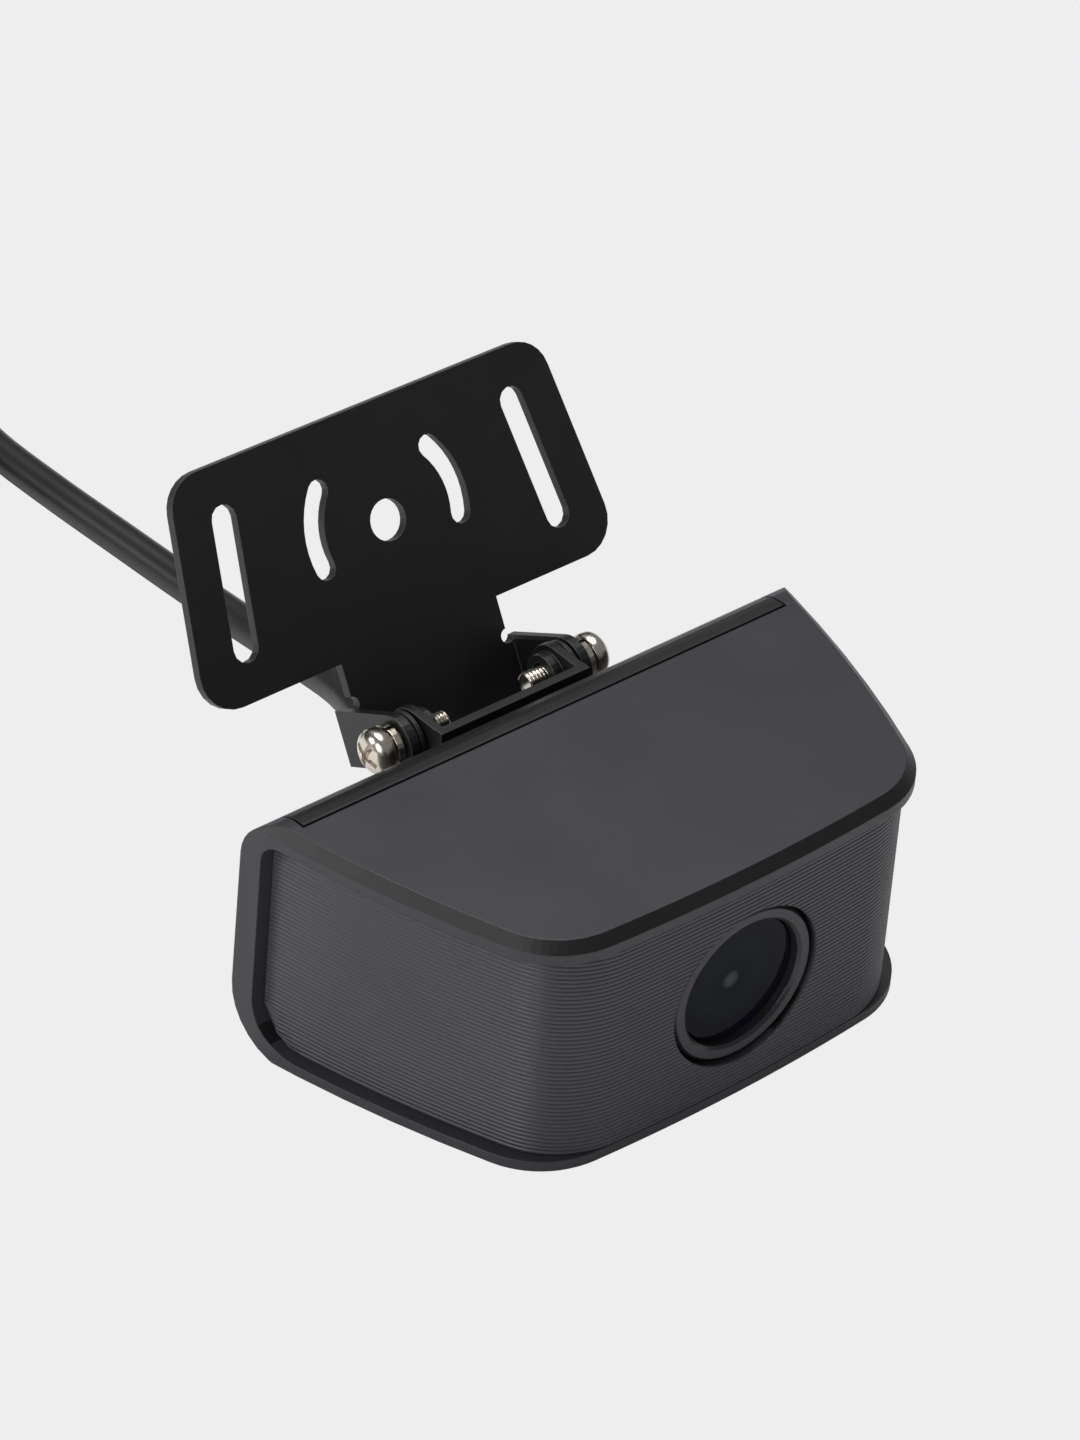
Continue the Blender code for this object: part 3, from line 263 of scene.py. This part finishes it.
MATERIAL_NAMES = {}
FINISHES = {
    "housing": ["front_housing"],
    "cover": ["rear_cover"],
    "ring": ["lens_ring"],
    "glass": ["lens_window", "lens_front_element", "ir_filter"],
    "powder": ["mounting_plate", "inner_bracket"],
    "rubber": ["cable_gland", "cover_gasket", "window_seal"],
    "nylon": ["lens_barrel", "lens_holder", "board_header", "image_sensor", "plug_shell",
              "spacer_washer_left", "spacer_washer_right"],
    "board": ["sensor_board", "interface_board"],
    "cream": ["cable_connector"],
    "pvc": ["plug_body"],
    "nickel": ["pivot_screw_left", "pivot_screw_right", "bracket_screw_left",
               "bracket_screw_right", "spring_washer_left", "spring_washer_right"],
}


# ---- mesh helpers ------------------------------------------------------------------------
def mesh_piece(name, bm, finish, smooth_angle=35):
    bmesh.ops.recalc_face_normals(bm, faces=bm.faces)
    mesh = bpy.data.meshes.new(name)
    bm.to_mesh(mesh)
    bm.free()
    piece = bpy.data.objects.new(name, mesh)
    bpy.context.scene.collection.objects.link(piece)
    mesh.materials.append(material(finish))
    mesh.shade_smooth()
    mesh.set_sharp_from_angle(angle=math.radians(smooth_angle))
    return piece


def tube(bm, points, radius_at, sides=20, across=None):
    """A tube with round section along the points, with its ends closed."""
    rings = []
    side = across or Vector((0, 0, 1))
    for i, here in enumerate(points):
        heading = (points[min(i + 1, len(points) - 1)] - points[max(i - 1, 0)]).normalized()
        u = heading.cross(side).normalized()
        v = u.cross(heading).normalized()
        side = v
        radius = radius_at(i)
        rings.append([bm.verts.new(here + (u * math.cos(t) + v * math.sin(t)) * radius)
                      for t in (2 * math.pi * k / sides for k in range(sides))])
    for a, b in zip(rings, rings[1:]):
        for k in range(sides):
            bm.faces.new((a[k], a[(k + 1) % sides], b[(k + 1) % sides], b[k]))
    bm.faces.new(rings[0][::-1])
    bm.faces.new(rings[-1])


def smooth_route(points, per_span):
    """Points on a Catmull-Rom curve through the route."""
    padded = [2 * points[0] - points[1]] + points + [2 * points[-1] - points[-2]]
    made = []
    for i in range(1, len(padded) - 2):
        a, b, c, d = padded[i - 1:i + 3]
        for k in range(per_span):
            t = k / per_span
            made.append(0.5 * (2 * b + (c - a) * t + (2 * a - 5 * b + 4 * c - d) * t ** 2
                               + (3 * b - a - 3 * c + d) * t ** 3))
    return made + [points[-1]]


# ---- ribbed wall -------------------------------------------------------------------------
def bow(a, b, bulge):
    """Centre and radius of the circle through a and b that bows out by bulge."""
    half = (b - a).length / 2
    radius = (half * half + bulge * bulge) / (2 * bulge)
    heading = (b - a).normalized()
    return (a + b) / 2 - Vector((heading.y, -heading.x)) * (radius - bulge), radius


def wall_outline(nose_inset, side_inset, back_y):
    """Plan view of the recessed wall from its left end round the nose to its right end."""
    nose, nose_r = bow(Vector((-24.45, -17.35)) * MM, Vector((24.45, -17.35)) * MM, 1.22 * MM)
    side, side_r = bow(Vector((24.45, -17.35)) * MM, Vector((36.8, 18.57)) * MM, 1.1 * MM)
    nose_r -= nose_inset
    side_r -= side_inset
    corner = 10.3 * MM
    apart = side - nose
    a, b = nose_r - corner, side_r - corner
    along = (a * a - b * b + apart.length_squared) / (2 * apart.length)
    across = math.sqrt(a * a - along * along)
    heading = apart.normalized()
    normal = Vector((-heading.y, heading.x))
    options = [nose + heading * along + normal * across * s for s in (1, -1)]
    middle = max(options, key=lambda p: (p.x > 0, -p.y))
    first = math.atan2(*(middle - nose).yx)
    last = math.atan2(*(middle - side).yx)
    end = math.asin((back_y - side.y) / side_r)

    def sweep(center, radius, start, stop, steps):
        return [center + Vector((math.cos(t), math.sin(t))) * radius
                for t in (start + (stop - start) * k / steps for k in range(steps + 1))]

    right = sweep(nose, nose_r, -math.pi / 2, first, 14)
    right += sweep(middle, corner, first, last, 16)[1:]
    right += sweep(side, side_r, last, end, 16)[1:]
    return [Vector((-p.x, p.y)) for p in right[:0:-1]] + right


def make_ribs(settings):
    """The ribbed wall: fine level ribs round the nose and both ends, cut for the lens."""
    back = BACK_Y - 2.75 * MM
    low_round, high_round = 5.8 * MM, 2.25 * MM
    skin = wall_outline(0.15 * MM, 1.7 * MM, back)
    normals = []
    for i in range(len(skin)):
        run = skin[min(i + 1, len(skin) - 1)] - skin[max(i - 1, 0)]
        normals.append(Vector((run.y, -run.x)).normalized())
    count = int((settings.high - settings.low) / settings.pitch)
    levels = []
    for k in range(count):
        base = settings.low + k * settings.pitch
        levels += [(base, 0.05), (base + settings.pitch * 0.2, 0.9),
                   (base + settings.pitch * 0.5, 1.0), (base + settings.pitch * 0.8, 0.9)]
    levels.append((settings.high, 0.05))
    bm = bmesh.new()
    grid = []
    for z, lift in levels:
        row = []
        for p, n in zip(skin, normals):
            reach = back + 0.15 * MM - p.y
            low = settings.low
            high = settings.high
            if reach < low_round:
                low += low_round - math.sqrt(max(low_round ** 2 - (low_round - reach) ** 2, 0))
            if reach < high_round:
                high -= high_round - math.sqrt(max(high_round ** 2 - (high_round - reach) ** 2, 0))
            at = min(max(z, low + 0.02 * MM), high - 0.02 * MM)
            share = (at / BODY_HEIGHT) * (p.y - NOSE_Y) / (BACK_Y - NOSE_Y)
            out = settings.depth * lift + 0.02 * MM
            nose = min(1.0, max(0.0, (p.y - NOSE_Y) / (3 * MM)))
            out *= 0.55 + 0.45 * nose
            row.append(bm.verts.new(((p.x + n.x * out) * (1 - 0.0353 * share),
                                     p.y + n.y * out, at)))
        grid.append(row)
    inner = []
    for row in (grid[0], grid[-1]):
        inner.append([bm.verts.new(v.co - Vector((n.x, n.y, 0)) * 0.5 * MM)
                      for v, n in zip(row, normals)])
    for a, b in zip([inner[0]] + grid, grid + [inner[1]]):
        for i in range(len(skin) - 1):
            bm.faces.new((a[i], a[i + 1], b[i + 1], b[i]))
    for i in range(len(skin) - 1):
        bm.faces.new((inner[1][i], inner[1][i + 1], inner[0][i + 1], inner[0][i]))
    for i in (0, -1):
        bm.faces.new([inner[0][i]] + [row[i] for row in grid] + [inner[1][i]])
    piece = mesh_piece("ribbed_wall", bm, "ribs", 60)
    bpy.ops.mesh.primitive_cylinder_add(
        vertices=96, radius=9.5 * MM, depth=12 * MM, rotation=(math.pi / 2, 0, 0),
        location=(0, -18 * MM, LENS_HEIGHT))
    hole = bpy.context.object
    change = piece.modifiers.new("lens hole", "BOOLEAN")
    change.object = hole
    change.solver = "EXACT"
    bpy.context.view_layer.objects.active = piece
    bpy.ops.object.modifier_apply(modifier=change.name)
    bpy.data.objects.remove(hole, do_unlink=True)
    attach(piece, "camera")


# ---- pivot screws ------------------------------------------------------------------------
HEAD_SEAT = 13.5 * MM
HEAD_HEIGHT = 2.4 * MM
HEAD_RADIUS = 2.5 * MM
SHANK_END = 5.1 * MM
SHANK_RADIUS = 1.08 * MM


def make_pivot_screws():
    """Pan head screws with a cross recess and a rolled thread, in place of the plain ones."""
    for sign, word in ((-1, "left"), (1, "right")):
        crown = [(math.cos(math.radians(t)), math.sin(math.radians(t))) for t in range(0, 91, 9)]
        profile = [(SHANK_RADIUS, SHANK_END + 0.3 * MM), (SHANK_RADIUS, HEAD_SEAT),
                   (HEAD_RADIUS - 0.15 * MM, HEAD_SEAT), (HEAD_RADIUS, HEAD_SEAT + 0.2 * MM),
                   (HEAD_RADIUS, HEAD_SEAT + HEAD_HEIGHT * 0.4)]
        low = HEAD_HEIGHT * 0.4
        profile += [(HEAD_RADIUS * c, HEAD_SEAT + low + (HEAD_HEIGHT - low) * s)
                    for c, s in crown[1:-1]]
        bm = bmesh.new()
        sides = 48
        rings = []
        for radius, reach in profile:
            rings.append([bm.verts.new(PIVOT + Vector((sign * reach,
                                                       radius * math.cos(2 * math.pi * k / sides),
                                                       radius * math.sin(2 * math.pi * k / sides))))
                          for k in range(sides)])
        for lower, upper in zip(rings, rings[1:]):
            for k in range(sides):
                n = (k + 1) % sides
                bm.faces.new((lower[k], lower[n], upper[n], upper[k]))
        for ring, reach in ((rings[0], SHANK_END), (rings[-1], HEAD_SEAT + HEAD_HEIGHT)):
            tip = bm.verts.new(PIVOT + Vector((sign * reach, 0, 0)))
            for k in range(sides):
                bm.faces.new((ring[k], ring[(k + 1) % sides], tip))
        piece = mesh_piece(f"pivot_screw_detail_{word}", bm, "nickel", 40)
        for turn in (20, 110):
            bpy.ops.mesh.primitive_cube_add(size=1.0)
            arm = bpy.context.object
            arm.scale = (1.6 * MM, 3.3 * MM, 0.75 * MM)
            arm.location = PIVOT + Vector((sign * (HEAD_SEAT + HEAD_HEIGHT), 0, 0))
            arm.rotation_euler = (math.radians(turn), 0, 0)
            change = piece.modifiers.new("recess", "BOOLEAN")
            change.object = arm
            change.solver = "EXACT"
            bpy.context.view_layer.objects.active = piece
            bpy.ops.object.modifier_apply(modifier=change.name)
            bpy.data.objects.remove(arm, do_unlink=True)
        piece.data.shade_smooth()
        piece.data.set_sharp_from_angle(angle=math.radians(40))
        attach(piece, "camera")
        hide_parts(f"pivot_screw_{word}")

        bm = bmesh.new()
        pitch = 0.45 * MM
        turns = int((HEAD_SEAT - SHANK_END - 0.6 * MM) / pitch)
        points = []
        for k in range(turns * 16 + 1):
            t = 2 * math.pi * k / 16
            points.append(PIVOT + Vector((sign * (SHANK_END + 0.35 * MM + pitch * k / 16),
                                          SHANK_RADIUS * math.cos(t), SHANK_RADIUS * math.sin(t))))
        tube(bm, points, lambda i: 0.15 * MM, sides=6, across=Vector((1, 0, 0)))
        thread = mesh_piece(f"pivot_thread_{word}", bm, "nickel")
        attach(thread, "camera")


# ---- lead --------------------------------------------------------------------------------
def coil_points(center, middle, step, low):
    """Three turns and a bit, two side by side and then on top, wound counter-clockwise."""
    half = step / 2
    stops = [(0, half, 0), (320, half, 0), (360, -half, 0), (640, -half, 0), (680, -half, 1),
             (960, -half, 1), (1000, half, 1), (1080, half, 1)]
    made = []
    for k in range(0, 1081, 10):
        for (a, ra, za), (b, rb, zb) in zip(stops, stops[1:]):
            if a <= k <= b:
                share = (k - a) / (b - a)
                share = share * share * (3 - 2 * share)
                radius = middle + ra + (rb - ra) * share
                height = low + (za + (zb - za) * share) * step
                break
        t = math.radians(k)
        made.append(Vector((center[0] + radius * math.cos(t), center[1] + radius * math.sin(t),
                            height)))
    return made


def make_cable(settings):
    """The lead, one continuous cord: gland, run, neat coil and plug, held by a tie."""
    center = (-22 * MM, 145 * MM)
    run = smooth_route([Vector(p) * MM for p in LEAD_ROUTE], 3)
    coil = coil_points(center, settings.coil_radius, 4.3 * MM, 2.4 * MM)
    tail = [(5.2, 150.0, 6.7), (5.4, 156.0, 6.7), (5.5, 162.0, 6.5), (5.1, 167.6, 6.2),
            (3.3, 173.0, 6.0), (-0.2, 177.6, 5.85), (-3.4, 179.7, 5.8), (-6.2, 180.3, 5.8)]
    tail = smooth_route([coil[-1]] + [Vector(p) * MM for p in tail], 3)[1:]
    route = run + coil + tail
    bm = bmesh.new()
    tube(bm, route, lambda i: settings.diameter / 2, sides=24)
    cable = mesh_piece("cable", bm, "pvc")
    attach(cable, "camera")
    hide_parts("cable_lead", "cable_coil")

    bm = bmesh.new()
    inner_x = settings.coil_radius - 4.4 * MM
    outer_x = settings.coil_radius + 4.4 * MM
    profile = [(inner_x, 0.28), (outer_x, 0.28), (outer_x, 9.0), (inner_x, 9.0)]
    profile[:] = [(x, z * MM) for x, z in profile]
    loops = []
    for x in (-1.8 * MM, 1.8 * MM):
        for grow in (0.0, 0.24 * MM):
            loop = []
            for (px, pz), (sx, sz) in zip(profile, ((-1, -1), (1, -1), (1, 1), (-1, 1))):
                loop.append(bm.verts.new((center[0] - (px + sx * grow),
                                          center[1] + x, pz + sz * grow)))
            loops.append(loop)
    for i in range(4):
        j = (i + 1) % 4
        for a, b in ((0, 1), (1, 3), (3, 2), (2, 0)):
            bm.faces.new((loops[a][i], loops[a][j], loops[b][j], loops[b][i]))
    tie = mesh_piece("tie_strap", bm, "nylon")
    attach(tie, "camera")
    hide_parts("cable_tie")

    bm = bmesh.new()
    for k in range(4):
        t = math.radians(45 + 90 * k)
        start = Vector((-42.0 * MM, 180.3 * MM + 1.9 * MM * math.cos(t),
                        5.8 * MM + 1.9 * MM * math.sin(t)))
        tube(bm, [start, start - Vector((4.6 * MM, 0, 0)), start - Vector((5.0 * MM, 0, 0))],
             lambda i: 0.5 * MM if i < 2 else 0.3 * MM, sides=12)
    pins = mesh_piece("plug_pins", bm, "tin")
    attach(pins, "camera")


# ---- stage -------------------------------------------------------------------------------
def area_light(name, place, target, size, watts):
    data = bpy.data.lights.new(name, "AREA")
    data.shape = "DISK"
    data.size = size
    data.energy = watts
    lamp = bpy.data.objects.new(name, data)
    bpy.context.scene.collection.objects.link(lamp)
    lamp.location = place
    lamp.rotation_euler = (Vector(target) - Vector(place)).to_track_quat("-Z", "Y").to_euler()


def make_stage(settings):
    """Pale floor, pale world, soft light, and the camera."""
    scene = bpy.context.scene
    scene.view_settings.view_transform = "Standard"
    bpy.ops.mesh.primitive_plane_add(size=12.0, location=(0, 0, -0.0002))
    floor = bpy.context.object
    floor.name = "floor"
    mat, shader = new_material("pale_paper_floor")
    glow = add(mat, "ShaderNodeEmission", Color=srgb("EEEEEE"), Strength=1.0)
    path = add(mat, "ShaderNodeLightPath")
    shader.inputs["Base Color"].default_value = srgb("EEEEEE")
    shader.inputs["Roughness"].default_value = 0.9
    blend = add(mat, "ShaderNodeMixShader", [(0, path.outputs["Is Camera Ray"])])
    mat.node_tree.links.new(shader.outputs["BSDF"], blend.inputs[1])
    mat.node_tree.links.new(glow.outputs["Emission"], blend.inputs[2])
    mat.node_tree.links.new(blend.outputs["Shader"],
                            mat.node_tree.nodes["Material Output"].inputs["Surface"])
    floor.data.materials.append(mat)
    world = bpy.data.worlds.new("studio")
    world.use_nodes = True
    world.node_tree.nodes["Background"].inputs["Color"].default_value = srgb("EEEEEE")
    world.node_tree.nodes["Background"].inputs["Strength"].default_value = 0.24
    scene.world = world
    area_light("top_softbox", (0.1, 0.25, 0.9), (0, 0, 0.02), 0.7, settings.key * 3)
    area_light("left_softbox", (-0.8, -0.2, 0.45), (0, 0, 0.01), 0.5, settings.key * 1.5)
    area_light("metal_card", (-0.5, 0.3, 0.3), (0, 24 * MM, 24 * MM), 0.22, settings.key * 0.5)
    lens = bpy.data.cameras.new("view")
    lens.sensor_fit = "VERTICAL"
    lens.sensor_height = 36.0
    lens.lens = settings.lens
    lens.clip_start = 0.01
    view = bpy.data.objects.new("view", lens)
    scene.collection.objects.link(view)
    view.matrix_world = Matrix(((0.7684, 0.3533, -0.5337, -0.2764),
                                (-0.6378, 0.4919, -0.5927, -0.2919),
                                (0.0531, 0.7958, 0.6033, 0.3398),
                                (0.0, 0.0, 0.0, 1.0)))
    scene.camera = view


# ---- operators and panel -----------------------------------------------------------------
class OBJECT_OT_camera_finishes(bpy.types.Operator):
    """Give every solid piece its material"""
    bl_idname = "object.camera_finishes"
    bl_label = "Camera finishes"

    def execute(self, context):
        for key, mat in make_materials().items():
            MATERIAL_NAMES[key] = mat.name
        fasteners = [f"{kind}_{i}" for kind in ("board_screw", "cover_screw") for i in range(1, 5)]
        sleeves = [f"board_spacer_{i}" for i in range(1, 5)]
        for key, names in FINISHES.items():
            extra = {"nickel": fasteners, "nylon": sleeves}.get(key, [])
            for name in names + extra:
                bpy.data.objects[name].material_slots[0].material = material(key)
        return {"FINISHED"}


class OBJECT_OT_camera_ribs(bpy.types.Operator):
    """Add the ribbed wall round the housing"""
    bl_idname = "object.camera_ribs"
    bl_label = "Ribbed wall"

    def execute(self, context):
        make_ribs(context.scene.camera_ribs)
        return {"FINISHED"}


class OBJECT_OT_camera_screws(bpy.types.Operator):
    """Add the detailed pivot screws"""
    bl_idname = "object.camera_screws"
    bl_label = "Pivot screws"

    def execute(self, context):
        make_pivot_screws()
        return {"FINISHED"}


class OBJECT_OT_camera_cable(bpy.types.Operator):
    """Add the lead with its coil, tie and plug pins"""
    bl_idname = "object.camera_cable"
    bl_label = "Lead and coil"

    def execute(self, context):
        make_cable(context.scene.camera_cable)
        return {"FINISHED"}


class OBJECT_OT_camera_stage(bpy.types.Operator):
    """Add the floor, lights and view"""
    bl_idname = "object.camera_stage"
    bl_label = "Stage"

    def execute(self, context):
        make_stage(context.scene.camera_stage)
        return {"FINISHED"}


class VIEW3D_PT_camera(bpy.types.Panel):
    bl_label = "Backup camera"
    bl_space_type = "VIEW_3D"
    bl_region_type = "UI"
    bl_category = "Backup camera"

    def draw(self, context):
        for group in (context.scene.camera_ribs, context.scene.camera_cable,
                      context.scene.camera_stage):
            for name in group.bl_rna.properties.keys():
                if name not in ("rna_type", "name"):
                    self.layout.prop(group, name)
        for operator in OPERATORS:
            self.layout.operator(operator.bl_idname)


OPERATORS = (OBJECT_OT_camera_finishes, OBJECT_OT_camera_ribs, OBJECT_OT_camera_screws,
             OBJECT_OT_camera_cable, OBJECT_OT_camera_stage)
GROUPS = {"camera_ribs": RibSettings, "camera_cable": CableSettings,
          "camera_stage": StageSettings}


def register():
    for cls in (*GROUPS.values(), *OPERATORS, VIEW3D_PT_camera):
        bpy.utils.register_class(cls)
    for name, group in GROUPS.items():
        setattr(bpy.types.Scene, name, bpy.props.PointerProperty(type=group))


def unregister():
    for name in GROUPS:
        delattr(bpy.types.Scene, name)
    for cls in (VIEW3D_PT_camera, *OPERATORS, *GROUPS.values()):
        bpy.utils.unregister_class(cls)


def main():
    register()
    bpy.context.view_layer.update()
    bpy.ops.object.camera_finishes()
    bpy.ops.object.camera_ribs()
    bpy.ops.object.camera_screws()
    bpy.ops.object.camera_cable()
    bpy.ops.object.camera_stage()


if __name__ == "__main__":
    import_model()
    main()
